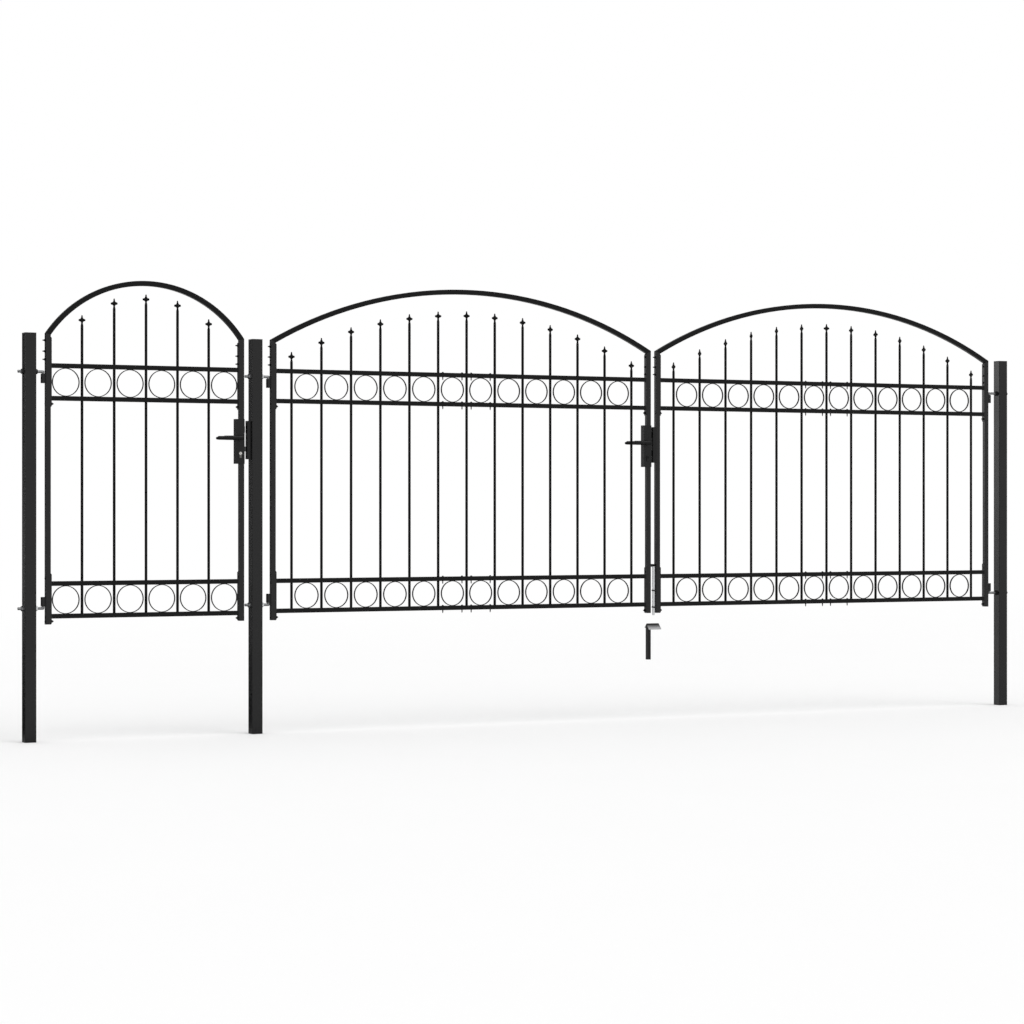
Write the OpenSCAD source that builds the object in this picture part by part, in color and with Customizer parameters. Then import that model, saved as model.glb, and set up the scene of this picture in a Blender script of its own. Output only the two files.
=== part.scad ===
// Driveway gate set: a two-leaf drive gate and a matching walk gate on three square posts.
// Each arched leaf carries two bands of rings, a row of spear-topped bars and pintle hinges.
// Lengths are in millimetres. X runs along the gate, Y points away from the street, Z is up.
// The origin is the centre of the middle post's foot.

/* [Posts] */
// Side of each square post
post_size = 50; // [40:1:70]
// Height of each post from its foot to the top of its cap
post_height = 1750; // [1700:10:2100]
// Outer corner radius of the post tube
post_corner = 4; // [2:0.5:8]
// Thickness of the flat cap on each post
cap_thick = 5; // [3:1:12]

/* [Leaf layout] */
// Distance between the stile centres of the walk leaf
walk_span = 886; // [840:2:1000]
// Distance between the stile centres of each drive leaf
drive_span = 1920; // [1880:2:2100]
// Gap from the left and middle posts to the hinge stiles beside them
hinge_gap = 46; // [40:1:60]
// Gap from the right post to the hinge stile beside it
far_hinge_gap = 57; // [40:1:65]
// Gap from the walk leaf's latch stile to the middle post
latch_gap = 32; // [32:1:60]
// Gap between the meeting stiles of the drive leaves
meeting_gap = 28.5; // [28:0.5:50]

/* [Leaf heights] */
// Height of the leaves' feet above the posts' feet
leaf_foot = 502; // [440:1:560]
// Drop from the posts' tops to the outer knees of the arches
knee_drop = 0; // [0:1:60]
// Rise of the walk arch from its knee to its crown
walk_rise = 240; // [200:1:300]
// Rise of the drive arches from their knees to their crowns
drive_rise = 256; // [230:1:320]
// Drop from the knee to the top of the upper ring band
band_drop = 128; // [115:1:160]
// Rise from the leaf's foot to the top of the lower ring band
band_lift = 185; // [180:1:240]

/* [Tubes and bars] */
// Side of the square tube of stiles and arches
stile_size = 22; // [20:1:30]
// Outer corner radius of that tube
stile_corner = 2; // [1:0.5:4]
// Side of the square rails
rail_size = 20; // [16:1:22]
// Outer corner radius of the rails
rail_corner = 1.5; // [0.5:0.5:3]
// Diameter of the upright bars
bar_d = 12; // [8:0.5:13]
// Number of bars in the walk leaf
walk_bars = 5; // [5:1:7]
// Number of bars in each drive leaf
drive_bars = 13; // [13:1:17]
// Width of the walk leaf's end bays as a share of the bars' spacing
walk_end_share = 0.95; // [0.95:0.01:1]
// Width of the drive leaves' end bays as a share of the bars' spacing
drive_end_share = 0.52; // [0.3:0.01:0.7]

/* [Ring bands] */
// Gap between the rings and the bars of the walk leaf
walk_ring_gap = 6.5; // [6:0.5:14]
// Gap between the rings and the bars of the drive leaves
drive_ring_gap = 9.5; // [6:0.5:14]
// Thickness of the flat strip that the rings are bent from
ring_thick = 3; // [2.5:0.5:6]
// Width of that strip across the leaf
ring_depth = 8; // [5:0.5:14]
// Thickness of the flat strips that bolt the bands to the stiles
strip_thick = 4; // [3:0.5:6]
// Width of those strips
strip_w = 20; // [14:1:20]

/* [Finials] */
// Height of a spear finial
finial_h = 52; // [46:1:70]
// Reach of the collar's two lobes from the bar's axis
lobe_reach = 16; // [12:0.5:20]
// Gap from the middle spear tip of the walk leaf to the arch
walk_tip_gap = 36; // [25:1:60]
// Gap from the middle spear tip of a drive leaf to the arch
drive_tip_gap = 76; // [60:1:100]
// Height of the walk leaf's end spear tips above its upper band
walk_tip_rise = 211; // [120:1:225]
// Height of the drive leaves' end spear tips above their upper bands
drive_tip_rise = 77; // [60:1:110]

/* [Hinges] */
// Diameter of the threaded pintle rods
rod_d = 12; // [10:1:14]
// Length of rod that stands out behind the left and middle posts
rod_tail = 25; // [16:1:26]
// Length of rod that stands out behind the right post
far_rod_tail = 16; // [14:1:26]
// Outer diameter of the hinge barrels
barrel_d = 20; // [18:1:24]
// Length of the hinge barrels
barrel_h = 40; // [34:1:60]

/* [Locks] */
// Width of a lock case along the gate
case_w = 41; // [36:1:50]
// Depth of a lock case
case_d = 30; // [26:1:40]
// Height of a lock case
case_h = 198; // [190:1:230]
// Gap between the lock cases and the upper bands' strips
case_drop = 39; // [25:1:120]
// Length of a lever from its spindle to its tip
lever_reach = 94; // [85:1:120]
// Distance of the lever grips from the leaf's middle plane
lever_offset = 38; // [36:1:50]
// Height of the keeps that face the locks
keep_h = 170; // [160:1:190]
// Thickness of the keeps along the gate
keep_w = 18; // [12:1:18]
// Depth of the keeps
keep_d = 24; // [20:1:30]

/* [Drop bolt and stop] */
// Diameter of the drop bolt
bolt_d = 12; // [10:1:12]
// Length of the drop bolt from its tip to its bent handle
bolt_len = 237; // [200:1:260]
// Reach of the bent handle
bolt_handle = 45; // [35:1:60]
// Length of the angle on the ground stop
stop_len = 66; // [60:1:90]
// Length of the stake under the ground stop
stop_stake = 160; // [120:5:240]
// Side of the square stake
stake_size = 18; // [14:1:20]

/* [Hidden] */

$fn = 48;

// Finishes
gate_black = "#262626";
zinc_silver = "#b4b7ba";

// Overrun of cuts past the faces that they break through
over = 2;

// Radial play of bars in the rails, rods in the posts, and pins in the barrels
bar_play = 0.25;
rod_play = 0.25;
pin_play = 0.15;
// Radial play of lever spindles and key cylinders in the lock cases
spindle_play = 0.2;
// Radial play of the drop bolt in its guides
bolt_play = 0.25;

// Depth that each ring is welded into its rails
ring_sink = 0.8;
// Floor under the bars inside the bottom rail
bar_floor = 3;
// Strip ends: past the lower rail of the upper band, below the knee, and past the top rail of the lower band
strip_tail = 28;
strip_drop = 15;
strip_head = 34;

// Finial: full bar, height and half height of the collar, its thickness, and the radii above and below it
shoulder_h = 7;
collar_lift = 30;
collar_half = 16;
collar_thick = 9;
neck_r = 4.2;
spike_r = 4;
spike_tip_r = 0.8;
// Collar's outline from top to foot, as shares of its reach and of its half height
collar_shares = [
    [0.24, 0.76], [0.36, 0.46], [0.62, 0.28], [0.96, 0.11],
    [0.96, -0.11], [0.62, -0.32], [0.38, -0.62], [0.26, -1],
];
// Turn that each spear was fixed at, from left to right
walk_turns = [2, -6, -3, -4, 0];
left_turns = [2, 8, 10, 12, 6, -10, 2, 10, 9, 19, 11, 8, 12];
right_turns = [84, 79, 81, 73, 76, 79, -2, 89, 90, 77, 83, 86, 82];

// Hinges: gap between rod and barrel, pin left short of the barrel's far end, width of the weld pad
barrel_gap = 2.5;
pin_short = 4;
barrel_pad = 14;
// Drop from the upper band's top rail to the upper barrel's middle
barrel_drop = 46;
// Drop from the lower band's top rail to the lower barrel's middle
barrel_low_drop = 67;

// Lock: heights from the case's middle
lever_up = 16;
cylinder_down = 53;
latch_up = 54;
dead_down = 33;
latch_h = 28;
dead_h = 22;
tongue_d = 13;
tongue_in = 7;
// Gap left between a drawn-back tongue and its keep
tongue_gap = 5.5;
spindle_d = 9;
// Lever: neck, grip from corner to end, and its lowered tip
neck_d = 16;
grip_d = 19;
grip_end_d = 17;
grip_tip_d = 13;
grip_tip = 11;
grip_tip_down = 1.5;
// Rounding of the grip's corner and of its tip, as shares of their radii and of the tip's length
corner_shares = [[0, -0.94], [0.36, -0.94], [0.72, -0.7], [0.94, -0.36], [1, 0]];
tip_shares = [[0, -1], [1, -1], [1, 0.4], [0.86, 0.75], [0.6, 0.94], [0.3, 1], [0, 1]];
rose_d = 30;
rose_thick = 4;
rose_gap = 0.5;
cylinder_d = 17;
cylinder_web = 10;
cylinder_drop = 20;
cylinder_proud = 3;
// Rise of the keeps' middles above the cases' middles
keep_lift = 6.5;
keep_slot_play = 2;
keep_slot_depth = 14;

// Drop bolt: tip below the leaf's foot, guide heights above it, and guide size
bolt_tip_drop = 11;
guide_lifts = [28, 107];
guide_h = 6;
guide_wall = 3;

// Ground stop: ridge below the leaf's foot, its place along and across the gate, and its angle
stop_ridge_drop = 49;
stop_shift = -7;
stop_y = -13;
stop_front_leg = 37;
stop_back_leg = 27;
stop_thick = 4;
stop_hole_play = 3;
stake_bite = 3;

// Heights worked out from the leaf's foot and knee
knee_z = post_height - knee_drop;
upper_band_top = knee_z - band_drop;
lower_band_top = leaf_foot + band_lift;
upper_barrel_z = upper_band_top - rail_size - barrel_drop;
lower_barrel_z = lower_band_top - rail_size - barrel_low_drop;
rod_lift = barrel_h / 2 + barrel_gap + rod_d / 2;
upper_rod_z = upper_barrel_z + rod_lift;
lower_rod_z = lower_barrel_z - rod_lift;
bolt_tip_z = leaf_foot - bolt_tip_drop;

// Places along the gate, from the middle post outwards
half_post = post_size / 2;
half_stile = stile_size / 2;
walk_latch_x = -(half_post + latch_gap + half_stile);
walk_hinge_x = walk_latch_x - walk_span;
left_post_x = walk_hinge_x - half_stile - hinge_gap - half_post;
left_hinge_x = half_post + hinge_gap + half_stile;
left_lock_x = left_hinge_x + drive_span;
right_meeting_x = left_lock_x + stile_size + meeting_gap;
right_hinge_x = right_meeting_x + drive_span;
right_post_x = right_hinge_x + half_stile + far_hinge_gap + half_post;
walk_axis_x = walk_hinge_x - half_stile - barrel_d / 2;
left_axis_x = left_hinge_x - half_stile - barrel_d / 2;
right_axis_x = right_hinge_x + half_stile + barrel_d / 2;
walk_case_x = walk_latch_x + half_stile - case_w / 2;
left_case_x = left_lock_x + half_stile - case_w / 2;
meeting_face_x = right_meeting_x - half_stile;
bolt_x = meeting_face_x - bolt_d / 2 - guide_wall;
stop_x = meeting_face_x - meeting_gap / 2 + stop_shift;

// A leaf is [middle, span, bars, end bay share, ring gap, arch rise, tip gap, tip rise, rings in end bays]
walk = [
    (walk_hinge_x + walk_latch_x) / 2, walk_span, walk_bars, walk_end_share, walk_ring_gap,
    walk_rise, walk_tip_gap, walk_tip_rise, true,
];
left = [
    (left_hinge_x + left_lock_x) / 2, drive_span, drive_bars, drive_end_share, drive_ring_gap,
    drive_rise, drive_tip_gap, drive_tip_rise, false,
];
right = [
    (right_meeting_x + right_hinge_x) / 2, drive_span, drive_bars, drive_end_share, drive_ring_gap,
    drive_rise, drive_tip_gap, drive_tip_rise, false,
];

function leaf_x(leaf) = leaf[0];
function leaf_span(leaf) = leaf[1];
function leaf_bars(leaf) = leaf[2];
function leaf_end_share(leaf) = leaf[3];
function leaf_ring_gap(leaf) = leaf[4];
function leaf_rise(leaf) = leaf[5];
function leaf_tip_gap(leaf) = leaf[6];
function leaf_tip_rise(leaf) = leaf[7];
function leaf_end_rings(leaf) = leaf[8];

// Half the leaf's outer width, and half the clear width between its strips
function half_out(leaf) = (leaf_span(leaf) + stile_size) / 2;
function half_in(leaf) = (leaf_span(leaf) - stile_size) / 2 - strip_thick;

// Circle through a middle point and two side points, given the half chord and the rise
function arc_radius(half_chord, rise) = (pow(half_chord, 2) + pow(rise, 2)) / (2 * rise);

// Outer radius of the arch, the height of its centre, and the height of its inner knee
function arch_r(leaf) = arc_radius(half_out(leaf), leaf_rise(leaf));
function arch_centre_z(leaf) = knee_z + leaf_rise(leaf) - arch_r(leaf);
function inner_knee_z(leaf) =
    arch_centre_z(leaf) + sqrt(pow(arch_r(leaf) - stile_size, 2) - pow(half_out(leaf) - stile_size, 2));

// Bars stand on both sides of the leaf's middle, and ring bays lie between them
function bar_pitch(leaf) = 2 * half_in(leaf) / (leaf_bars(leaf) - 1 + 2 * leaf_end_share(leaf));
function end_bar_x(leaf) = (leaf_bars(leaf) - 1) / 2 * bar_pitch(leaf);
function bar_xs(leaf) = [for (i = [0 : leaf_bars(leaf) - 1]) i * bar_pitch(leaf) - end_bar_x(leaf)];
function ring_xs(leaf) =
    let (extra = leaf_end_rings(leaf) ? 1 : 0)
    [for (i = [1 - extra : leaf_bars(leaf) - 1 + extra]) (i - 1 / 2) * bar_pitch(leaf) - end_bar_x(leaf)];

// Spear tips follow a flatter arc below the arch
function mid_tip_z(leaf) = knee_z + leaf_rise(leaf) - stile_size - leaf_tip_gap(leaf);
function tip_z(leaf, x) =
    let (r = arc_radius(end_bar_x(leaf), mid_tip_z(leaf) - upper_band_top - leaf_tip_rise(leaf)))
    mid_tip_z(leaf) - r + sqrt(pow(r, 2) - pow(x, 2));

// Rings fill the height between a band's rails, so the bars' spacing sets that height
function leaf_gap(leaf) = bar_pitch(leaf) - bar_d - 2 * leaf_ring_gap(leaf);

// Underside of a band's lower rail
function band_base(leaf, top_z) = top_z - 2 * rail_size - leaf_gap(leaf);

// Middle height of the lock cases, below the upper bands' strips
case_z = min(band_base(walk, upper_band_top), band_base(left, upper_band_top))
    - strip_tail - case_drop - case_h / 2;

// Square tube outline with round corners
module tube_section(side, corner) {
    flat = side - 2 * corner;
    square([flat, side], center = true);
    square([side, flat], center = true);
    for (sx = [-1, 1], sy = [-1, 1])
        translate([sx * flat / 2, sy * flat / 2])
            circle(r = corner);
}

// Square with its corners cut off
module cut_section(side, corner) {
    half = side / 2;
    flat = half - corner;
    polygon([
        [half, -flat], [half, flat], [flat, half], [-flat, half],
        [-half, flat], [-half, -flat], [-flat, -half], [flat, -half]
    ]);
}

// Upright tube between two heights
module upright(x, side, corner, z0, z1) {
    translate([x, 0, z0])
        linear_extrude(z1 - z0)
            tube_section(side, corner);
}

// Round rod along X between two places
module rod_x(x0, x1, z, d) {
    translate([min(x0, x1), 0, z])
        rotate([0, 90, 0])
            cylinder(d = d, h = abs(x1 - x0));
}

// Round rod through the leaf along Y, centred on the leaf's plane
module rod_y(x, z, d, length) {
    translate([x, 0, z])
        rotate([90, 0, 0])
            cylinder(d = d, h = length, center = true);
}

// Box centred on the leaf's plane
module slab(x0, x1, depth, z0, z1) {
    translate([x0, -depth / 2, z0])
        cube([x1 - x0, depth, z1 - z0]);
}

// Post tube, drilled for its two pintle rods
module post(x) {
    color(gate_black)
        difference() {
            upright(x, post_size, post_corner, 0, post_height - cap_thick);
            for (z = [lower_rod_z, upper_rod_z])
                rod_x(x - half_post - over, x + half_post + over, z, rod_d + 2 * rod_play);
        }
}

module left_post() {
    post(left_post_x);
}

module middle_post() {
    post(0);
}

module right_post() {
    post(right_post_x);
}

// Flat caps that close the post tops
module post_caps() {
    color(gate_black)
        for (x = [left_post_x, 0, right_post_x])
            upright(x, post_size, post_corner, post_height - cap_thick, post_height);
}

// Rod through a post, turned at right angles into a pin
module pintle(post_x, axis_x, tail, rod_z, way) {
    tail_x = post_x + sign(post_x - axis_x) * (half_post + tail);
    pin_len = rod_d / 2 + barrel_gap + barrel_h - pin_short;
    rod_x(tail_x, axis_x, rod_z, rod_d);
    translate([axis_x, 0, rod_z])
        sphere(d = rod_d);
    translate([axis_x, 0, min(rod_z, rod_z + way * pin_len)])
        cylinder(d = rod_d, h = pin_len);
}

// Upper pintle points down and the lower one up, so that the leaf cannot be lifted off
module pintle_pair(post_x, axis_x, tail) {
    color(zinc_silver) {
        pintle(post_x, axis_x, tail, upper_rod_z, -1);
        pintle(post_x, axis_x, tail, lower_rod_z, 1);
    }
}

module hinge_pintles() {
    pintle_pair(left_post_x, walk_axis_x, rod_tail);
    pintle_pair(0, left_axis_x, rod_tail);
    pintle_pair(right_post_x, right_axis_x, far_rod_tail);
}

// Barrels with a flat pad welded to the stile's outer face
module barrel_pair(axis_x, face_x) {
    color(gate_black)
        for (z = [lower_barrel_z, upper_barrel_z])
            difference() {
                union() {
                    translate([axis_x, 0, z])
                        cylinder(d = barrel_d, h = barrel_h, center = true);
                    slab(
                        min(axis_x, face_x), max(axis_x, face_x), barrel_pad,
                        z - barrel_h / 2, z + barrel_h / 2
                    );
                }
                translate([axis_x, 0, z])
                    cylinder(d = rod_d + 2 * pin_play, h = barrel_h + over, center = true);
            }
}

module walk_barrels() {
    barrel_pair(walk_axis_x, walk_hinge_x - half_stile);
}

module left_barrels() {
    barrel_pair(left_axis_x, left_hinge_x - half_stile);
}

module right_barrels() {
    barrel_pair(right_axis_x, right_hinge_x + half_stile);
}

// Block on the upper or lower side of the mitre at the right-hand knee
module mitre_block(leaf, upper) {
    reach = 3 * stile_size;
    tilt = atan2(knee_z - inner_knee_z(leaf), stile_size);
    translate([half_out(leaf), 0, knee_z])
        rotate([0, -tilt, 0])
            translate([-reach, -reach / 2, upper ? 0 : -reach])
                cube([2 * reach, reach, reach]);
}

// Bowed head tube, mitred at both ends to meet the stiles
module leaf_arch(leaf) {
    r = arch_r(leaf);
    half_angle = asin(half_out(leaf) / r) + atan(stile_size / r);
    color(gate_black)
        translate([leaf_x(leaf), 0, 0])
            difference() {
                translate([0, 0, arch_centre_z(leaf)])
                    rotate([90, 0, 0])
                        rotate([0, 0, 90 - half_angle])
                            rotate_extrude(angle = 2 * half_angle, $fn = 180)
                                translate([r - half_stile, 0])
                                    cut_section(stile_size, stile_corner);
                for (side = [0, 1])
                    mirror([side, 0, 0])
                        mitre_block(leaf, false);
            }
}

module walk_arch() {
    leaf_arch(walk);
}

module left_arch() {
    leaf_arch(left);
}

module right_arch() {
    leaf_arch(right);
}

// Upright from a given height to the mitred knee, on the right or, mirrored, on the left of the leaf
module knee_upright(leaf, mirrored, z0) {
    color(gate_black)
        translate([leaf_x(leaf), 0, 0])
            mirror([mirrored ? 1 : 0, 0, 0])
                difference() {
                    upright(half_out(leaf) - half_stile, stile_size, stile_corner, z0, knee_z + stile_size);
                    mitre_block(leaf, true);
                }
}

// Right-hand stile in two lengths, with the lock case between them
module lock_stile(leaf, x) {
    color(gate_black)
        upright(x, stile_size, stile_corner, leaf_foot, case_z - case_h / 2);
    knee_upright(leaf, false, case_z + case_h / 2);
}

module walk_hinge_stile() {
    knee_upright(walk, true, leaf_foot);
}

module walk_latch_stile() {
    lock_stile(walk, walk_latch_x);
}

module left_hinge_stile() {
    knee_upright(left, true, leaf_foot);
}

module left_lock_stile() {
    lock_stile(left, left_lock_x);
}

module right_hinge_stile() {
    knee_upright(right, false, leaf_foot);
}

module right_meeting_stile() {
    knee_upright(right, true, leaf_foot);
}

// Rail along the leaf between the strips
module rail(leaf, z) {
    translate([-half_in(leaf), 0, z + rail_size / 2])
        rotate([90, 0, 90])
            linear_extrude(2 * half_in(leaf))
                tube_section(rail_size, rail_corner);
}

// Ring of flat strip, standing in the leaf's plane and biting into both rails
module ring(x, z, gap) {
    translate([x, 0, z])
        rotate([90, 0, 0])
            rotate_extrude()
                translate([gap / 2 + ring_sink - ring_thick, -ring_depth / 2])
                    square([ring_thick, ring_depth]);
}

// Flat strip with both ends cut at a slant
module strip(z0, z1) {
    translate([0, strip_w / 2, 0])
        rotate([90, 0, 0])
            linear_extrude(strip_w)
                polygon([
                    [strip_thick, z0],
                    [strip_thick, z1],
                    [0, z1 - strip_thick],
                    [0, z0 + strip_thick],
                ]);
}

// Strips that bolt both ends of a leaf's bands to its stiles; the upper ones run on to the knees
module leaf_strips(leaf) {
    color(gate_black)
        translate([leaf_x(leaf), 0, 0])
            for (side = [0, 1])
                mirror([side, 0, 0])
                    translate([half_in(leaf), 0, 0]) {
                        strip(band_base(leaf, upper_band_top) - strip_tail, knee_z - strip_drop);
                        strip(leaf_foot, lower_band_top + strip_head);
                    }
}

// Two rails with a row of rings between them, and holes for the bars
module ring_band(leaf, top_z, hole_z0) {
    base_z = band_base(leaf, top_z);
    color(gate_black)
        translate([leaf_x(leaf), 0, 0])
            difference() {
                union() {
                    rail(leaf, base_z);
                    rail(leaf, top_z - rail_size);
                    for (x = ring_xs(leaf))
                        ring(x, base_z + rail_size + leaf_gap(leaf) / 2, leaf_gap(leaf));
                }
                for (x = bar_xs(leaf))
                    translate([x, 0, hole_z0])
                        cylinder(d = bar_d + 2 * bar_play, h = top_z + over - hole_z0);
            }
}

// Upper band: the bars pass right through both rails
module upper_band(leaf) {
    ring_band(leaf, upper_band_top, band_base(leaf, upper_band_top) - over);
}

// Lower band: the bars stand on the floor of its bottom rail
module lower_band(leaf) {
    ring_band(leaf, lower_band_top, band_base(leaf, lower_band_top) + bar_floor);
}

// Upright bars, from the floor of the bottom rail to the spears
module bars_row(leaf) {
    base_z = band_base(leaf, lower_band_top) + bar_floor;
    color(gate_black)
        for (x = bar_xs(leaf))
            translate([leaf_x(leaf) + x, 0, base_z])
                cylinder(d = bar_d, h = tip_z(leaf, x) - finial_h - base_z);
}

// Outline of the collar: two pointed lobes that sweep into the bar below and the spike above
module collar_outline() {
    right_side = [for (share = collar_shares) [share[0] * lobe_reach, share[1] * collar_half]];
    left_side = [for (i = [len(right_side) - 1 : -1 : 0]) [-right_side[i][0], right_side[i][1]]];
    polygon(concat(right_side, left_side));
}

// Spear with a flat collar
module finial() {
    rotate_extrude()
        polygon([
            [0, 0],
            [bar_d / 2, 0],
            [bar_d / 2, shoulder_h],
            [neck_r, collar_lift - collar_half],
            [spike_r, collar_lift + collar_half / 2],
            [spike_tip_r, finial_h],
            [0, finial_h],
        ]);
    translate([0, collar_thick / 2, collar_lift])
        rotate([90, 0, 0])
            linear_extrude(collar_thick)
                collar_outline();
}

// Row of spears on a leaf's bars
module finials(leaf, turns) {
    xs = bar_xs(leaf);
    color(gate_black)
        for (i = [0 : len(xs) - 1])
            translate([leaf_x(leaf) + xs[i], 0, tip_z(leaf, xs[i]) - finial_h])
                rotate([0, 0, turns[i % len(turns)]])
                    finial();
}

module walk_upper_band() {
    upper_band(walk);
}

module walk_lower_band() {
    lower_band(walk);
}

module walk_strips() {
    leaf_strips(walk);
}

module walk_bars_row() {
    bars_row(walk);
}

module walk_finials() {
    finials(walk, walk_turns);
}

module left_upper_band() {
    upper_band(left);
}

module left_lower_band() {
    lower_band(left);
}

module left_strips() {
    leaf_strips(left);
}

module left_bars_row() {
    bars_row(left);
}

module left_finials() {
    finials(left, left_turns);
}

module right_upper_band() {
    upper_band(right);
}

module right_lower_band() {
    lower_band(right);
}

module right_strips() {
    leaf_strips(right);
}

module right_bars_row() {
    bars_row(right);
}

module right_finials() {
    finials(right, right_turns);
}

// Outline of a key cylinder, with play all round
module cylinder_outline(play) {
    circle(d = cylinder_d + 2 * play);
    translate([-cylinder_web / 2 - play, -cylinder_drop - play])
        square([cylinder_web + 2 * play, cylinder_drop + play]);
}

// Key cylinder through the case, centred on the leaf's plane
module key_cylinder(x, length, play) {
    translate([x, length / 2, case_z - cylinder_down])
        rotate([90, 0, 0])
            linear_extrude(length)
                cylinder_outline(play);
}

// Lock case with lever roses, spindle bore, cylinder hole and tongue pockets
module lock_case(x) {
    face_x = x + case_w / 2;
    color(gate_black)
        difference() {
            union() {
                slab(x - case_w / 2, face_x, case_d, case_z - case_h / 2, case_z + case_h / 2);
                rod_y(x, case_z + lever_up, rose_d, case_d + 2 * rose_thick);
            }
            rod_y(x, case_z + lever_up, spindle_d + 2 * spindle_play, case_d + 2 * rose_thick + over);
            key_cylinder(x, case_d + over, spindle_play);
            slab(
                face_x - tongue_in, face_x + over, tongue_d,
                case_z + latch_up - latch_h / 2, case_z + latch_up + latch_h / 2
            );
            slab(
                face_x - tongue_in, face_x + over, tongue_d,
                case_z - dead_down - dead_h / 2, case_z - dead_down + dead_h / 2
            );
        }
}

// Sloped latch tongue and square dead bolt, both drawn back clear of the keep across the gap
module lock_tongues(x, gap) {
    face_x = x + case_w / 2;
    tongue_out = gap - keep_w - tongue_gap;
    color(zinc_silver) {
        translate([0, 0, case_z + latch_up - latch_h / 2])
            linear_extrude(latch_h)
                polygon([
                    [face_x - tongue_in, -tongue_d / 2],
                    [face_x, -tongue_d / 2],
                    [face_x + tongue_out, tongue_d / 4],
                    [face_x + tongue_out, tongue_d / 2],
                    [face_x - tongue_in, tongue_d / 2],
                ]);
        slab(
            face_x - tongue_in, face_x + tongue_out, tongue_d,
            case_z - dead_down - dead_h / 2, case_z - dead_down + dead_h / 2
        );
    }
}

// Grip along its own axis, from the rounded corner at the spindle to the lowered tip
module grip() {
    rotate_extrude()
        polygon(concat(
            [for (share = corner_shares) share * grip_d / 2],
            [[grip_end_d / 2, lever_reach - grip_tip], [0, lever_reach - grip_tip]]
        ));
    translate([-grip_tip_down, 0, lever_reach - grip_tip])
        rotate_extrude()
            polygon([for (share = tip_shares) [share[0] * grip_tip_d / 2, share[1] * grip_tip]]);
}

// Lever grips on both sides of the leaf, on one spindle
module lever(x) {
    z = case_z + lever_up;
    neck_y = case_d / 2 + rose_thick + rose_gap;
    color(gate_black) {
        rod_y(x, z, spindle_d, 2 * lever_offset);
        for (side = [0, 1])
            mirror([0, side, 0]) {
                translate([x, -lever_offset, z]) {
                    rotate([-90, 0, 0])
                        cylinder(d = neck_d, h = lever_offset - neck_y);
                    rotate([0, -90, 0])
                        grip();
                }
            }
    }
}

module walk_lock_case() {
    lock_case(walk_case_x);
}

module walk_lock_cylinder() {
    color(zinc_silver)
        key_cylinder(walk_case_x, case_d + 2 * cylinder_proud, 0);
}

module walk_lock_tongues() {
    lock_tongues(walk_case_x, latch_gap);
}

module walk_lever() {
    lever(walk_case_x);
}

module left_lock_case() {
    lock_case(left_case_x);
}

module left_lock_cylinder() {
    color(zinc_silver)
        key_cylinder(left_case_x, case_d + 2 * cylinder_proud, 0);
}

module left_lock_tongues() {
    lock_tongues(left_case_x, meeting_gap);
}

module left_lever() {
    lever(left_case_x);
}

// Keep on a face that looks towards the lock, with a slot for each tongue
module keep(face_x) {
    color(gate_black)
        difference() {
            slab(
                face_x - keep_w, face_x, keep_d,
                case_z + keep_lift - keep_h / 2, case_z + keep_lift + keep_h / 2
            );
            for (tongue = [[latch_up, latch_h], [-dead_down, dead_h]])
                slab(
                    face_x - keep_w - over, face_x - keep_w + keep_slot_depth, tongue_d + 2 * keep_slot_play,
                    case_z + tongue[0] - tongue[1] / 2 - keep_slot_play,
                    case_z + tongue[0] + tongue[1] / 2 + keep_slot_play
                );
        }
}

module post_keep() {
    keep(-half_post);
}

module leaf_keep() {
    keep(meeting_face_x);
}

// Guides that hold the drop bolt off the meeting stile
module bolt_guides() {
    color(gate_black)
        for (lift = guide_lifts)
            difference() {
                union() {
                    translate([bolt_x, 0, leaf_foot + lift - guide_h / 2])
                        cylinder(d = bolt_d + 2 * guide_wall, h = guide_h);
                    slab(
                        bolt_x, meeting_face_x, bolt_d + 2 * guide_wall,
                        leaf_foot + lift - guide_h / 2, leaf_foot + lift + guide_h / 2
                    );
                }
                translate([bolt_x, 0, leaf_foot + lift])
                    cylinder(d = bolt_d + 2 * bolt_play, h = guide_h + over, center = true);
            }
}

// Drop bolt with its handle bent to the yard side
module drop_bolt() {
    color(zinc_silver)
        translate([bolt_x, 0, bolt_tip_z]) {
            cylinder(d = bolt_d, h = bolt_len);
            translate([0, 0, bolt_len]) {
                sphere(d = bolt_d);
                rotate([-90, 0, 0])
                    cylinder(d = bolt_d, h = bolt_handle);
                translate([0, bolt_handle, 0])
                    sphere(d = bolt_d);
            }
        }
}

// Ridged angle on a stake, notched at the back to take the drop bolt
module ground_stop() {
    ridge_z = leaf_foot - stop_ridge_drop;
    inner_ridge_z = ridge_z - stop_thick * sqrt(2);
    stake_top_z = inner_ridge_z - stake_size / 2 + stake_bite;
    color(gate_black)
        translate([stop_x - stop_len / 2, stop_y, 0])
            difference() {
                union() {
                    translate([0, 0, ridge_z])
                        rotate([-45, 0, 0]) {
                            translate([0, 0, -stop_thick])
                                cube([stop_len, stop_back_leg, stop_thick]);
                            translate([0, 0, -stop_front_leg])
                                cube([stop_len, stop_thick, stop_front_leg]);
                        }
                    translate([0, -stake_size / 2, stake_top_z - stop_stake])
                        cube([stake_size, stake_size, stop_stake]);
                }
                translate([bolt_x - stop_x + stop_len / 2, -stop_y, ridge_z - stop_front_leg])
                    cylinder(d = bolt_d + 2 * stop_hole_play, h = 2 * stop_front_leg);
            }
}

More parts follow.
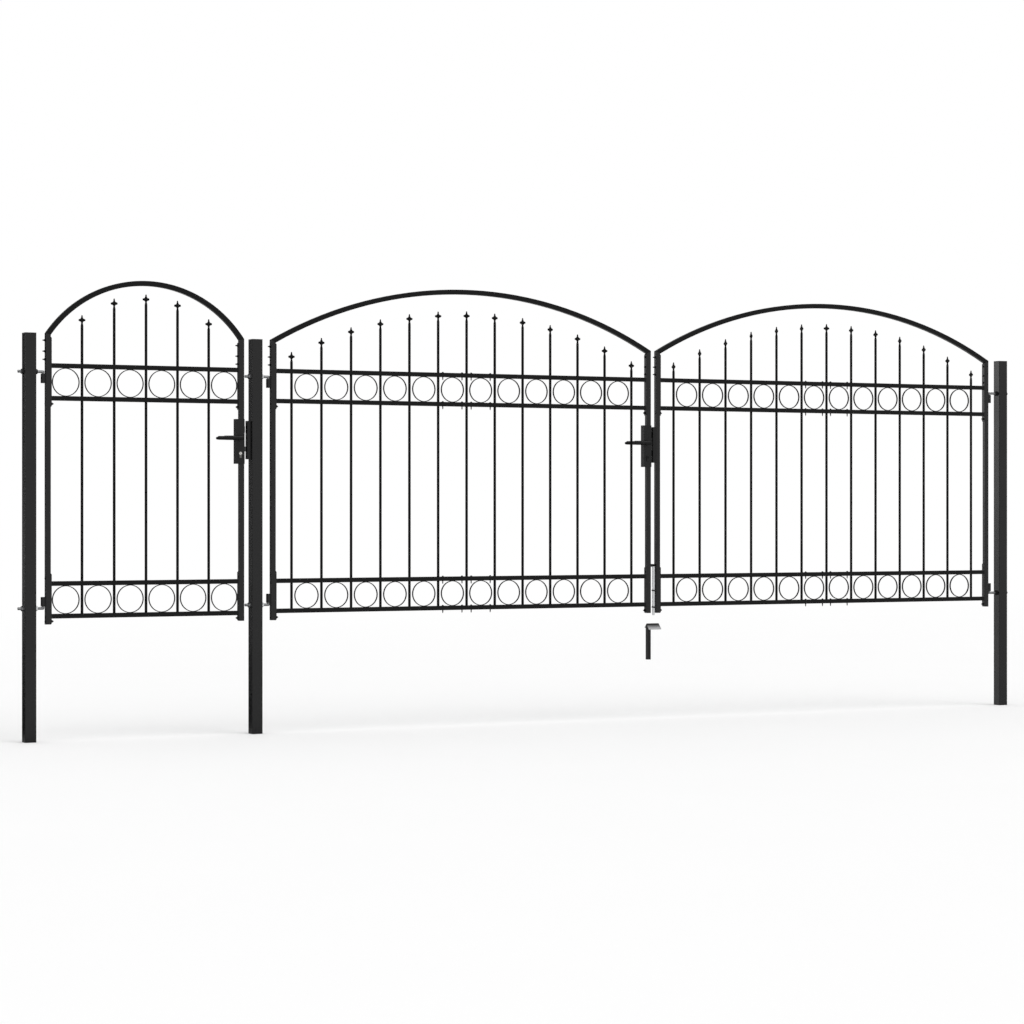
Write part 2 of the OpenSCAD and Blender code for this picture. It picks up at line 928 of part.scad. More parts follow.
left_post();
middle_post();
right_post();
post_caps();
hinge_pintles();
post_keep();
ground_stop();
walk_arch();
walk_hinge_stile();
walk_latch_stile();
walk_upper_band();
walk_lower_band();
walk_strips();
walk_bars_row();
walk_finials();
walk_barrels();
walk_lock_case();
walk_lock_cylinder();
walk_lock_tongues();
walk_lever();
left_arch();
left_hinge_stile();
left_lock_stile();
left_upper_band();
left_lower_band();
left_strips();
left_bars_row();
left_finials();
left_barrels();
left_lock_case();
left_lock_cylinder();
left_lock_tongues();
left_lever();
right_arch();
right_hinge_stile();
right_meeting_stile();
right_upper_band();
right_lower_band();
right_strips();
right_bars_row();
right_finials();
right_barrels();
leaf_keep();
bolt_guides();
drop_bolt();
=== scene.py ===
"""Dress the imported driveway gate: finishes, fasteners, welds, studio and camera."""
import logging
import math
from dataclasses import dataclass
from enum import Enum
from typing import Dict, List, Optional, Sequence, Tuple, Union

import bmesh
import bpy
from mathutils import Matrix, Vector


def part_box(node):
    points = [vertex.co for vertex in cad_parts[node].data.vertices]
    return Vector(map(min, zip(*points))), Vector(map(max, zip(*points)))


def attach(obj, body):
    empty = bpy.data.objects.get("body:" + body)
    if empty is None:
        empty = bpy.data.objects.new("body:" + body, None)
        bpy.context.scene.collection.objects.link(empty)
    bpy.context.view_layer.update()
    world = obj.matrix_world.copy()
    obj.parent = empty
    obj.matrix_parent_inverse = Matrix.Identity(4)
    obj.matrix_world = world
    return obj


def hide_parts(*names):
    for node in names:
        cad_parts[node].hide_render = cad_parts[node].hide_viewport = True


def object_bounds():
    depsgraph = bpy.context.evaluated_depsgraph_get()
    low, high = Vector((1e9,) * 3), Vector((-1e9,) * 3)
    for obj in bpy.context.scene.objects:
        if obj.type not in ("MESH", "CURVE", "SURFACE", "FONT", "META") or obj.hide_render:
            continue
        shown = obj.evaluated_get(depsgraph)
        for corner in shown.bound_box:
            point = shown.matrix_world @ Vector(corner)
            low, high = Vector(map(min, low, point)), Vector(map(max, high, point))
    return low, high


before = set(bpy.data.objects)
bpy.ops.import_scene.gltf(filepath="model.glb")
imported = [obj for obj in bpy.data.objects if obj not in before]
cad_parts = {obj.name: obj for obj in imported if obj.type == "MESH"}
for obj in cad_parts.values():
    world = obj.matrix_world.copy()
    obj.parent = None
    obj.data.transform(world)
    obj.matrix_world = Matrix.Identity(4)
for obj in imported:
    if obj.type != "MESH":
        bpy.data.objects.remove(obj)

CAD_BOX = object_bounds()
LOG = logging.getLogger("driveway_gate")

Tone = Tuple[float, float, float, float]
Number = Union["Signal", float]
Pair = Tuple[float, float]
Triple = Tuple[float, float, float]
Profile = Sequence[Pair]
Settings = Optional[Dict[str, object]]
Sockets = Optional[Dict[Union[int, str], object]]

WHITE: Tone = (1.0, 1.0, 1.0, 1.0)
# Middle value of a noise pattern
MEAN = 0.5
# Upward part of a normal where a face starts to count as level, and how fast it does
LEVEL_FROM = 0.5
LEVEL_RISE = 2.0
# Angle from which an edge is drawn sharp
SHARP = math.radians(38)


class Slot(Enum):
    """Material slots of the record, handed along with the added pieces."""

    GATE = "gate_black"
    LOCK = "lock_black"
    ZINC = "zinc"
    NICKEL = "cylinder_nickel"


class Way(Enum):
    """Directions that a fastener can point in."""

    LEFT = (-1.0, 0.0, 0.0)
    RIGHT = (1.0, 0.0, 0.0)
    FRONT = (0.0, -1.0, 0.0)
    BACK = (0.0, 1.0, 0.0)
    UP = (0.0, 0.0, 1.0)
    DOWN = (0.0, 0.0, -1.0)

    def seat(self, at: Sequence[float]) -> Matrix:
        """Place a shape's own Z axis along this direction.

        Args:
            at: Point that the shape's origin goes to.

        Returns:
            The matrix that turns and moves the shape.
        """
        turn = Vector(self.value).to_track_quat("Z", "Y").to_matrix().to_4x4()
        return Matrix.Translation(Vector(at)) @ turn


class Signal:
    """A shader value that takes part in Python arithmetic."""

    def __init__(self, graph: "Graph", socket: bpy.types.NodeSocket) -> None:
        """Keep the socket and the graph that it belongs to."""
        self.graph = graph
        self.socket = socket

    def _math(self, operation: str, first: Number, second: Number) -> "Signal":
        """Add one Math node and hand back its result.

        Args:
            operation: Name of the Math node's operation.
            first: Left-hand value.
            second: Right-hand value.

        Returns:
            The result as a new signal.
        """
        node = self.graph.node("ShaderNodeMath", {"operation": operation}, {0: first, 1: second})
        return Signal(self.graph, node.outputs[0])

    def __add__(self, other: Number) -> "Signal":
        """Add a value on the right."""
        return self._math("ADD", self, other)

    def __radd__(self, other: float) -> "Signal":
        """Add a value on the left."""
        return self._math("ADD", other, self)

    def __sub__(self, other: Number) -> "Signal":
        """Take a value away."""
        return self._math("SUBTRACT", self, other)

    def __rsub__(self, other: float) -> "Signal":
        """Take this signal away from a value."""
        return self._math("SUBTRACT", other, self)

    def __mul__(self, other: Number) -> "Signal":
        """Multiply by a value on the right."""
        return self._math("MULTIPLY", self, other)

    def __rmul__(self, other: float) -> "Signal":
        """Multiply by a value on the left."""
        return self._math("MULTIPLY", other, self)

    def __gt__(self, other: Number) -> "Signal":
        """Give one where this signal is above a value."""
        return self._math("GREATER_THAN", self, other)

    def __abs__(self) -> "Signal":
        """Give the size without its sign."""
        return self._math("ABSOLUTE", self, 0.0)

    def either(self, other: Number) -> "Signal":
        """Give the larger of two values."""
        return self._math("MAXIMUM", self, other)

    def held(self) -> "Signal":
        """Keep the value between zero and one."""
        return self._math("MINIMUM", self._math("MAXIMUM", self, 0.0), 1.0)


class Graph:
    """Node tree of one material or of the world."""

    def __init__(self, tree: bpy.types.NodeTree) -> None:
        """Start from an empty tree."""
        self.tree = tree
        self.tree.nodes.clear()

    def node(self, kind: str, settings: Settings = None, sockets: Sockets = None) -> bpy.types.Node:
        """Add a node, set it up and join its inputs.

        Args:
            kind: Type of the node.
            settings: Attributes that are set first.
            sockets: Values or signals for its inputs, by name or number.

        Returns:
            The new node.
        """
        made = self.tree.nodes.new(kind)
        for key, value in (settings or {}).items():
            setattr(made, key, value)
        for key, value in (sockets or {}).items():
            if isinstance(value, Signal):
                self.tree.links.new(value.socket, made.inputs[key])
            else:
                made.inputs[key].default_value = value
        return made

    def out(
        self, kind: str, output: Union[int, str] = 0, settings: Settings = None, sockets: Sockets = None,
    ) -> Signal:
        """Add a node and hand back one of its outputs.

        Args:
            kind: Type of the node.
            output: Name or number of the output.
            settings: Attributes that are set first.
            sockets: Values or signals for its inputs.

        Returns:
            The output as a signal.
        """
        return Signal(self, self.node(kind, settings, sockets).outputs[output])

    def place(self) -> Signal:
        """Give the object coordinates, in metres."""
        return self.out("ShaderNodeTexCoord", "Object")

    def stretched(self, place: Signal, scale: Sequence[float]) -> Signal:
        """Give coordinates that are scaled along each axis."""
        return self.out("ShaderNodeMapping", 0, None, {"Vector": place, "Scale": tuple(scale)})

    def axes(self, vector: Signal) -> List[Signal]:
        """Split a vector into its three parts."""
        made = self.node("ShaderNodeSeparateXYZ", None, {0: vector})
        return [Signal(self, made.outputs[i]) for i in range(3)]

    def noise(self, place: Signal, scale: float, detail: float = 3.0) -> Signal:
        """Give cloudy noise between zero and one.

        Args:
            place: Coordinates to read.
            scale: Lumps in a metre.
            detail: Number of finer layers.

        Returns:
            The noise as a signal.
        """
        return self.out("ShaderNodeTexNoise", 0, None, {"Vector": place, "Scale": scale, "Detail": detail})

    def blend(self, share: Number, first: Union[Signal, Tone], second: Union[Signal, Tone]) -> Signal:
        """Mix two colours.

        Args:
            share: Share of the second colour.
            first: Colour at zero.
            second: Colour at one.

        Returns:
            The mixed colour.
        """
        return self.out("ShaderNodeMix", 2, {"data_type": "RGBA"}, {0: share, 6: first, 7: second})

    def upward(self) -> Signal:
        """Give one on faces that look up and zero on walls and undersides."""
        level = self.axes(self.out("ShaderNodeNewGeometry", "Normal"))[2]
        return ((level - LEVEL_FROM) * LEVEL_RISE).held()

    def bump(self, height: Signal, depth: float) -> Signal:
        """Turn a height into a bent normal.

        Args:
            height: Height pattern between zero and one.
            depth: Real depth of the pattern in metres.

        Returns:
            The normal as a signal.
        """
        return self.out("ShaderNodeBump", 0, None, {"Strength": 1.0, "Distance": depth, "Height": height})

    def surface(self, sockets: Dict[str, object]) -> None:
        """Close the tree with one principled shader.

        Args:
            sockets: Values or signals for the shader's inputs.
        """
        shader = self.out("ShaderNodeBsdfPrincipled", 0, None, sockets)
        self.node("ShaderNodeOutputMaterial", None, {"Surface": shader})


def new_material(name: str) -> Tuple[bpy.types.Material, Graph]:
    """Make an empty node material.

    Args:
        name: Name of the material.

    Returns:
        The material and its graph.
    """
    material = bpy.data.materials.new(name)
    material.use_nodes = True
    return material, Graph(material.node_tree)


@dataclass(frozen=True)
class SatinCoat:
    """Baked black coat with a fine peel, faint clouding and a little dust on top faces."""

    name: str
    tone: Tone
    cloudy: Tone
    dusty: Tone
    rough: float
    gloss: float
    peel: float
    depth: float
    clouds: float = 5.0
    grains: float = 260.0
    specks: float = 38.0
    cloud_share: float = 0.6
    dust_share: float = 0.5
    cloud_rough: float = 0.1
    grain_rough: float = 0.16
    dust_rough: float = 0.2

    def material(self) -> bpy.types.Material:
        """Build the coat.

        Returns:
            The material.
        """
        material, g = new_material(self.name)
        place = g.place()
        cloud = g.noise(place, self.clouds, 4.0)
        grain = g.noise(place, self.grains, 3.0)
        base = g.blend(cloud * self.cloud_share + grain * (1.0 - self.cloud_share), self.tone, self.cloudy)
        speck = g.noise(place, self.specks, 5.0)
        dust = g.upward() * (cloud * self.dust_share + speck * (1.0 - self.dust_share))
        uneven = (grain - MEAN) * self.grain_rough + (cloud - MEAN) * self.cloud_rough
        g.surface({
            "Base Color": g.blend(dust, base, self.dusty),
            "Roughness": (self.rough + uneven + dust * self.dust_rough).held(),
            "Specular IOR Level": self.gloss,
            "Normal": g.bump(g.noise(place, self.peel, 2.0), self.depth),
        })
        return material


@dataclass(frozen=True)
class ZincPlate:
    """Plating or bare metal with drawn lines, dull patches and a few darker stains."""

    name: str
    bright: Tone
    dull: Tone
    stain: Tone
    rough: float
    lines: Triple
    metal: float = 1.0
    patches: float = 55.0
    draws: float = 90.0
    spots: float = 160.0
    spot_edge: float = 0.62
    spot_rise: float = 5.0
    spot_share: float = 0.6
    patch_rough: float = 0.25
    draw_rough: float = 0.15
    draw_depth: float = 0.00008

    def material(self) -> bpy.types.Material:
        """Build the plating.

        Returns:
            The material.
        """
        material, g = new_material(self.name)
        place = g.place()
        patch = g.noise(place, self.patches, 4.0)
        drawn = g.noise(g.stretched(place, self.lines), self.draws, 3.0)
        spotted = ((g.noise(place, self.spots, 2.0) - self.spot_edge) * self.spot_rise).held()
        base = g.blend(patch, self.bright, self.dull)
        uneven = (patch - MEAN) * self.patch_rough + (drawn - MEAN) * self.draw_rough
        g.surface({
            "Base Color": g.blend(spotted * self.spot_share, base, self.stain),
            "Roughness": (self.rough + uneven).held(),
            "Metallic": self.metal,
            "Normal": g.bump(drawn, self.draw_depth),
        })
        return material


@dataclass(frozen=True)
class StopCoat:
    """Black stake under a plate with a painted reflection: grey towards its lower edge, darkening to black at
    its ridge.
    """

    name: str
    tone: Tone
    painted_sheen: Tone
    ridge_y: float
    ridge_z: float
    plate: float
    leg: float
    plate_reach: float = 1.6
    rubs: float = 90.0
    rub_lines: Triple = (0.25, 1.0, 1.0)
    rub_share: float = 0.16
    sheen_from: float = 0.26
    sheen_rise: float = 1.5
    rough: float = 0.36
    rub_rough: float = 0.16
    gloss: float = 0.40
    grains: float = 420.0
    grain_depth: float = 0.00008

    def material(self) -> bpy.types.Material:
        """Build the coat with its painted reflection.

        Returns:
            The material.
        """
        material, g = new_material(self.name)
        place = g.place()
        _, y, z = g.axes(place)
        near_plate = (z + abs(y - self.ridge_y)) > (self.ridge_z - self.plate * self.plate_reach)
        rub = g.noise(g.stretched(place, self.rub_lines), self.rubs, 4.0)
        # Painted reflection: from the ridge down, the plate turns from the black coat to grey, standing in
        # for the bright sky that its sloping face would mirror.
        below = (self.ridge_z - z) * (1.0 / self.leg)
        painted_sheen = (below - self.sheen_from) * self.sheen_rise + (rub - MEAN) * self.rub_share
        g.surface({
            "Base Color": g.blend(near_plate * painted_sheen.held(), self.tone, self.painted_sheen),
            "Roughness": (self.rough + rub * self.rub_rough).held(),
            "Specular IOR Level": self.gloss,
            "Normal": g.bump(g.noise(place, self.grains, 3.0), self.grain_depth),
        })
        return material


BLACK: Tone = (0.0045, 0.0045, 0.0047, 1.0)
# Grey of the stop plate's painted reflection
PAINTED_SHEEN_GREY: Tone = (0.42, 0.42, 0.43, 1.0)
GATE_COAT = SatinCoat(
    "gate_coat", BLACK, (0.0070, 0.0070, 0.0073, 1.0), (0.018, 0.0175, 0.017, 1.0),
    rough=0.25, gloss=0.50, peel=900.0, depth=0.00003,
)
RAIL_COAT = SatinCoat(
    "rail_coat", (0.0032, 0.0032, 0.0033, 1.0), (0.0052, 0.0052, 0.0054, 1.0), (0.014, 0.0136, 0.0132, 1.0),
    rough=0.28, gloss=0.21, peel=900.0, depth=0.00003,
)
BAR_COAT = SatinCoat(
    "bar_coat", (0.0018, 0.0018, 0.0019, 1.0), (0.0034, 0.0034, 0.0035, 1.0), (0.010, 0.0098, 0.0095, 1.0),
    rough=0.44, gloss=0.12, peel=900.0, depth=0.00005,
)
LOCK_COAT = SatinCoat(
    "lock_coat", (0.0040, 0.0040, 0.0042, 1.0), (0.0062, 0.0062, 0.0065, 1.0), (0.016, 0.0155, 0.015, 1.0),
    rough=0.28, gloss=0.40, peel=1300.0, depth=0.00003,
)
LEVER_COAT = SatinCoat(
    "lever_coat", (0.0024, 0.0024, 0.0025, 1.0), (0.0040, 0.0040, 0.0042, 1.0), (0.010, 0.0098, 0.0095, 1.0),
    rough=0.32, gloss=0.28, peel=1600.0, depth=0.00003,
)
CAP_MOULDING = SatinCoat(
    "cap_moulding", (0.0055, 0.0055, 0.0057, 1.0), (0.0080, 0.0080, 0.0083, 1.0), (0.020, 0.0195, 0.019, 1.0),
    rough=0.48, gloss=0.40, peel=2200.0, depth=0.00005,
)
BOLT_BLACK = SatinCoat(
    "bolt_black", (0.0030, 0.0030, 0.0031, 1.0), (0.0056, 0.0055, 0.0054, 1.0), (0.012, 0.0117, 0.0114, 1.0),
    rough=0.38, gloss=0.20, peel=700.0, depth=0.00003,
)
ROD_ZINC = ZincPlate(
    "rod_zinc", (0.38, 0.385, 0.39, 1.0), (0.24, 0.245, 0.25, 1.0), (0.13, 0.125, 0.12, 1.0),
    rough=0.34, lines=(0.2, 1.0, 1.0),
)
BOLT_ZINC = ZincPlate(
    "bolt_zinc", (0.82, 0.83, 0.84, 1.0), (0.66, 0.67, 0.68, 1.0), (0.44, 0.43, 0.42, 1.0),
    rough=0.30, lines=(1.0, 1.0, 0.2), metal=0.35,
)
TONGUE_STEEL = ZincPlate(
    "tongue_steel", (0.13, 0.13, 0.132, 1.0), (0.08, 0.08, 0.082, 1.0), (0.05, 0.049, 0.048, 1.0),
    rough=0.34, lines=(1.0, 1.0, 0.2),
)
CYLINDER_NICKEL = ZincPlate(
    "cylinder_nickel_face", (0.26, 0.255, 0.24, 1.0), (0.16, 0.157, 0.15, 1.0), (0.09, 0.088, 0.084, 1.0),
    rough=0.26, lines=(1.0, 1.0, 1.0),
)
# Pale nickel of the key plug, a painted highlight against the darker cylinder
PLUG_GLINT_NICKEL = ZincPlate(
    "plug_glint_nickel", (0.78, 0.77, 0.74, 1.0), (0.62, 0.61, 0.58, 1.0), (0.40, 0.39, 0.37, 1.0),
    rough=0.22, lines=(1.0, 1.0, 1.0), metal=0.4,
)


def scaled(shares: Profile, radius: float, height: float) -> List[Pair]:
    """Turn a profile of shares into radii and heights."""
    return [(across * radius, along * height) for across, along in shares]


class Bench:
    """Gathers small shapes into the mesh of one piece."""

    ripple: Profile = ((0.82, 0.08), (1.0, 0.5), (0.86, 0.9))

    def __init__(self) -> None:
        """Start with an empty mesh."""
        self.mesh = bmesh.new()

    def add(self, shape: bmesh.types.BMesh, place: Matrix) -> None:
        """Put a finished shape in its place and free it.

        Args:
            shape: Shape about its own origin.
            place: Matrix that turns and moves it.
        """
        bmesh.ops.transform(shape, matrix=place, verts=shape.verts[:])
        carrier = bpy.data.meshes.new("carrier")
        shape.to_mesh(carrier)
        shape.free()
        self.mesh.from_mesh(carrier)
        bpy.data.meshes.remove(carrier)

    def lathe(self, profile: Profile, sides: int, place: Matrix) -> None:
        """Spin a profile about its own Z axis.

        Args:
            profile: Points as radius and height.
            sides: Steps in a full turn.
            place: Where the shape goes.
        """
        shape = bmesh.new()
        points = [shape.verts.new((radius, 0.0, height)) for radius, height in profile]
        lines = [shape.edges.new(pair) for pair in zip(points, points[1:])]
        bmesh.ops.spin(
            shape, geom=points + lines, cent=(0, 0, 0), axis=(0, 0, 1), dvec=(0, 0, 0),
            angle=2 * math.pi, steps=sides, use_merge=True,
        )
        bmesh.ops.remove_doubles(shape, verts=shape.verts[:], dist=1e-6)
        bmesh.ops.recalc_face_normals(shape, faces=shape.faces[:])
        self.add(shape, place)

    def prism(self, sides: int, radius: float, height: float, chamfer: float, place: Matrix) -> None:
        """Make a prism that stands on its origin, with its end edges bevelled.

        Args:
            sides: Number of flats.
            radius: Radius at the corners.
            height: Height along its own Z axis.
            chamfer: Bevel of the end edges.
            place: Where the shape goes.
        """
        shape = bmesh.new()
        bmesh.ops.create_cone(
            shape, cap_ends=True, cap_tris=False, segments=sides,
            radius1=radius, radius2=radius, depth=height,
            matrix=Matrix.Translation((0, 0, height / 2)),
        )
        ends = [e for e in shape.edges if abs(e.verts[0].co.z - e.verts[1].co.z) < height / 4]
        bmesh.ops.bevel(
            shape, geom=ends, offset=chamfer, segments=1, profile=0.5, affect="EDGES", material=-1,
        )
        self.add(shape, place)

    def block(self, size: Sequence[float], edge: float, place: Matrix) -> None:
        """Make a rectangular block about its origin, with rounded edges.

        Args:
            size: Lengths along its own axes.
            edge: Radius of the edges.
            place: Where the shape goes.
        """
        shape = bmesh.new()
        bmesh.ops.create_cube(shape, size=1.0, matrix=Matrix.Diagonal((*size, 1.0)))
        bmesh.ops.bevel(
            shape, geom=shape.edges[:], offset=edge, segments=2, profile=0.5, affect="EDGES", material=-1,
        )
        self.add(shape, place)

    def bead(self, radius: float, length: float, ripples: int, place: Matrix) -> None:
        """Make a rippled weld bead along its own Z axis, from its origin.

        Args:
            radius: Radius of the bead.
            length: Length of the bead.
            ripples: Number of ripples along it.
            place: Where the shape goes.
        """
        step = length / ripples
        profile = [(0.0, 0.0)]
        for i in range(ripples):
            profile += [(radius * share, step * (i + at)) for share, at in self.ripple]
        profile.append((0.0, length))
        self.lathe(profile, sides=8, place=place)

    def piece(self, name: str, body: str, material: bpy.types.Material, slot: Slot) -> bpy.types.Object:
        """Turn what was gathered into an object that rides on a body.

        Args:
            name: Name of the piece.
            body: Body that carries it.
            material: Its finish.
            slot: Slot of the record that its finish belongs to; not used.

        Returns:
            The new object.
        """
        for face in self.mesh.faces:
            face.smooth = True
        for edge in self.mesh.edges:
            edge.smooth = len(edge.link_faces) == 2 and edge.calc_face_angle() < SHARP
        data = bpy.data.meshes.new(name)
        self.mesh.to_mesh(data)
        self.mesh.free()
        data.materials.append(material)
        made = bpy.data.objects.new(name, data)
        bpy.context.scene.collection.objects.link(made)
        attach(made, body)
        LOG.info("%s: %d faces on %s", name, len(data.polygons), body)
        return made


@dataclass(frozen=True)
class HexNut:
    """Hexagon nut on a washer, with the end of its bolt standing out."""

    across: float
    thick: float
    washer_r: float
    washer_t: float
    end_r: float
    end: float
    rim_share: float = 0.25
    chamfer_share: float = 0.1

    def put(self, bench: Bench, at: Sequence[float], way: Way) -> None:
        """Seat the nut on a face.

        Args:
            bench: Bench to add to.
            at: Point on the face where the bolt comes out.
            way: Direction away from the face.
        """
        seat = way.seat(at)
        rim = self.washer_t * self.rim_share
        bench.lathe(
            [(0.0, 0.0), (self.washer_r, 0.0), (self.washer_r, self.washer_t - rim),
             (self.washer_r - rim, self.washer_t), (0.0, self.washer_t)],
            sides=16, place=seat,
        )
        lifted = seat @ Matrix.Translation((0, 0, self.washer_t))
        corner = self.across / 2 / math.cos(math.radians(30))
        chamfer = self.thick * self.chamfer_share
        bench.prism(sides=6, radius=corner, height=self.thick, chamfer=chamfer, place=lifted)
        top = self.washer_t + self.thick
        taper = self.end_r * self.rim_share
        bench.lathe(
            [(self.end_r, top - self.thick / 2), (self.end_r, top + self.end - taper),
             (self.end_r - taper, top + self.end), (0.0, top + self.end)],
            sides=12, place=seat,
        )


@dataclass(frozen=True)
class CupHead:
    """Domed bolt head with a thin flange."""

    radius: float
    height: float
    dome: Profile = ((1.0, 0.0), (1.0, 0.2), (0.92, 0.48), (0.7, 0.78), (0.36, 0.96), (0.0, 1.0))

    def put(self, bench: Bench, at: Sequence[float], way: Way) -> None:
        """Seat the head on a face.

        Args:
            bench: Bench to add to.
            at: Point on the face.
            way: Direction away from the face.
        """
        bench.lathe(scaled(self.dome, self.radius, self.height), sides=14, place=way.seat(at))


@dataclass(frozen=True)
class RailScrew:
    """Self-drilling screw through a rail: washer head above, ribbed point below."""

    head_r: float
    head_h: float
    shank_r: float
    point: float
    sunk: float = 0.001
    cap: Profile = ((1.0, 0.0), (1.0, 0.3), (0.62, 0.36), (0.56, 0.9), (0.0, 1.0))
    rib: Profile = ((1.0, 0.12), (0.74, 0.19))
    rib_step: float = 0.15
    ribs: int = 4
    tip: Profile = ((0.6, 0.78), (0.0, 1.0))

    def put(self, bench: Bench, x: float, top: float, bottom: float) -> None:
        """Drive the screw down through a rail.

        Args:
            bench: Bench to add to.
            x: Place along the gate.
            top: Height of the rail's upper face.
            bottom: Height of its lower face.
        """
        cap = scaled(self.cap, self.head_r, self.head_h)
        bench.lathe(cap, sides=10, place=Way.UP.seat((x, 0.0, top)))
        ribbed = [(share, at + self.rib_step * i) for i in range(self.ribs) for share, at in self.rib]
        profile = [(self.shank_r, -self.sunk)] + scaled(ribbed + list(self.tip), self.shank_r, self.point)
        bench.lathe(profile, sides=8, place=Way.DOWN.seat((x, 0.0, bottom)))


@dataclass(frozen=True)
class CrossScrew:
    """Raised countersunk screw head with a cross cut in it."""

    radius: float
    height: float
    dish: Profile = ((1.0, 0.0), (0.94, 0.4), (0.62, 1.0), (0.5, 1.0), (0.16, 0.2), (0.0, 0.2))
    wing: Triple = (1.1, 0.2, 0.5)
    wing_edge: float = 0.05
    wing_lift: float = 0.3

    def put(self, bench: Bench, at: Sequence[float], way: Way) -> None:
        """Seat the head on a face.

        Args:
            bench: Bench to add to.
            at: Point on the face.
            way: Direction away from the face.
        """
        r, h = self.radius, self.height
        seat = way.seat(at)
        bench.lathe(scaled(self.dish, r, h), sides=16, place=seat)
        long, wide, tall = self.wing
        for turn in (0.0, math.pi / 2):
            place = seat @ Matrix.Rotation(turn, 4, "Z") @ Matrix.Translation((0, 0, h * self.wing_lift))
            bench.block((r * long, r * wide, h * tall), h * self.wing_edge, place)


class Dresser:
    """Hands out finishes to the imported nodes."""

    def __init__(self) -> None:
        """Build each finish once."""
        self.gate = GATE_COAT.material()
        self.rail = RAIL_COAT.material()
        self.bar = BAR_COAT.material()
        self.lock = LOCK_COAT.material()
        self.lever = LEVER_COAT.material()
        self.cap = CAP_MOULDING.material()
        self.bolt = BOLT_BLACK.material()
        self.zinc = ROD_ZINC.material()
        self.bright_zinc = BOLT_ZINC.material()
        self.tongue = TONGUE_STEEL.material()
        self.nickel = CYLINDER_NICKEL.material()
        self.plug = PLUG_GLINT_NICKEL.material()

    def dress(self, material: bpy.types.Material, *nodes: str) -> None:
        """Give nodes a finish.

        Args:
            material: The finish.
            nodes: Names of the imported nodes.
        """
        for name in nodes:
            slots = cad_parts[name].data.materials
            slots.clear()
            slots.append(material)
            LOG.info("%s: %s", name, material.name)


@dataclass
class PostSet:
    """Three posts with their caps, hinge rods, nuts and keep."""

    dresser: Dresser
    nut: HexNut = HexNut(
        across=0.019, thick=0.0095, washer_r=0.0125, washer_t=0.0018, end_r=0.0061, end=0.0,
    )
    thread_pitch: float = 0.00175
    thread_depth: float = 0.0009
    thread_stand: float = 0.0003
    tail: float = 0.025
    bend: float = 0.013
    screw: CrossScrew = CrossScrew(radius=0.0042, height=0.0012)
    screw_inset: float = 0.011
    hung: Tuple[Tuple[str, str], ...] = (
        ("left_post", "walk_barrels"), ("middle_post", "left_barrels"), ("right_post", "right_barrels"),
    )

    def rods(self) -> List[Tuple[str, float, float]]:
        """Find the thread on each post's rods.

        Returns:
            Each post's name and the left and right ends of the thread.
        """
        found = []
        far_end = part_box("hinge_pintles")[1].x
        for post, barrels in self.hung:
            low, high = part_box(post)
            barrel_low, barrel_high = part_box(barrels)
            radius = (barrel_high.y - barrel_low.y) / 2
            if barrel_low.x > high.x:
                found.append((post, low.x - self.tail, barrel_low.x + radius - self.bend))
            else:
                found.append((post, barrel_high.x - radius + self.bend, far_end))
        return found

    def thread(self, bench: Bench, radius: float, x0: float, x1: float, z: float) -> None:
        """Cut a thread on a stretch of rod.

        Args:
            bench: Bench to add to.
            radius: Radius of the rod.
            x0: Lower end along the gate.
            x1: Upper end along the gate.
            z: Height of the rod.
        """
        turns = max(2, round((x1 - x0) / self.thread_pitch))
        step = (x1 - x0) / turns
        crest = radius + self.thread_stand
        profile = [(radius - self.thread_depth, 0.0)]
        for i in range(turns):
            profile += [(crest, step * (i + 0.5)), (radius - self.thread_depth, step * (i + 1))]
        bench.lathe(profile, sides=12, place=Way.RIGHT.seat((x0, 0.0, z)))

    def build(self) -> None:
        """Dress the posts and add their fasteners."""
        d = self.dresser
        d.dress(d.gate, "left_post", "middle_post", "right_post")
        d.dress(d.lock, "post_keep")
        d.dress(d.cap, "post_caps")
        d.dress(d.zinc, "hinge_pintles")
        black_nuts, shaded_left_nuts, lit_right_nuts, threads = Bench(), Bench(), Bench(), Bench()
        rods_low, rods_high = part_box("hinge_pintles")
        radius = (rods_high.y - rods_low.y) / 2
        for post, left_end, right_end in self.rods():
            post_low, post_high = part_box(post)
            for z in (rods_low.z + radius, rods_high.z - radius):
                plated = post == "middle_post" or (post == "left_post" and z < rods_high.z - radius)
                # Painted shade and light: on plated rods the nut on the post's left face takes the darker rod
                # zinc and the nut on its right face the bright zinc. These are shaded and lit copies of one
                # zinc.
                left_nuts, right_nuts = (shaded_left_nuts, lit_right_nuts) if plated else (black_nuts, black_nuts)
                self.nut.put(left_nuts, (post_low.x, 0.0, z), Way.LEFT)
                self.nut.put(right_nuts, (post_high.x, 0.0, z), Way.RIGHT)
                self.thread(threads, radius, left_end, post_low.x, z)
                self.thread(threads, radius, post_high.x, right_end, z)
        black_nuts.piece("hinge_nuts", "posts", d.gate, Slot.GATE)
        shaded_left_nuts.piece("hinge_shaded_left_nuts", "posts", d.zinc, Slot.ZINC)
        lit_right_nuts.piece("hinge_lit_right_nuts", "posts", d.bright_zinc, Slot.ZINC)
        threads.piece("hinge_threads", "posts", d.zinc, Slot.ZINC)
        keep_low, keep_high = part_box("post_keep")
        screws = Bench()
        for z in (keep_low.z + self.screw_inset, keep_high.z - self.screw_inset):
            self.screw.put(screws, (keep_low.x, 0.0, z), Way.LEFT)
        screws.piece("post_keep_screws", "posts", d.bolt, Slot.LOCK)


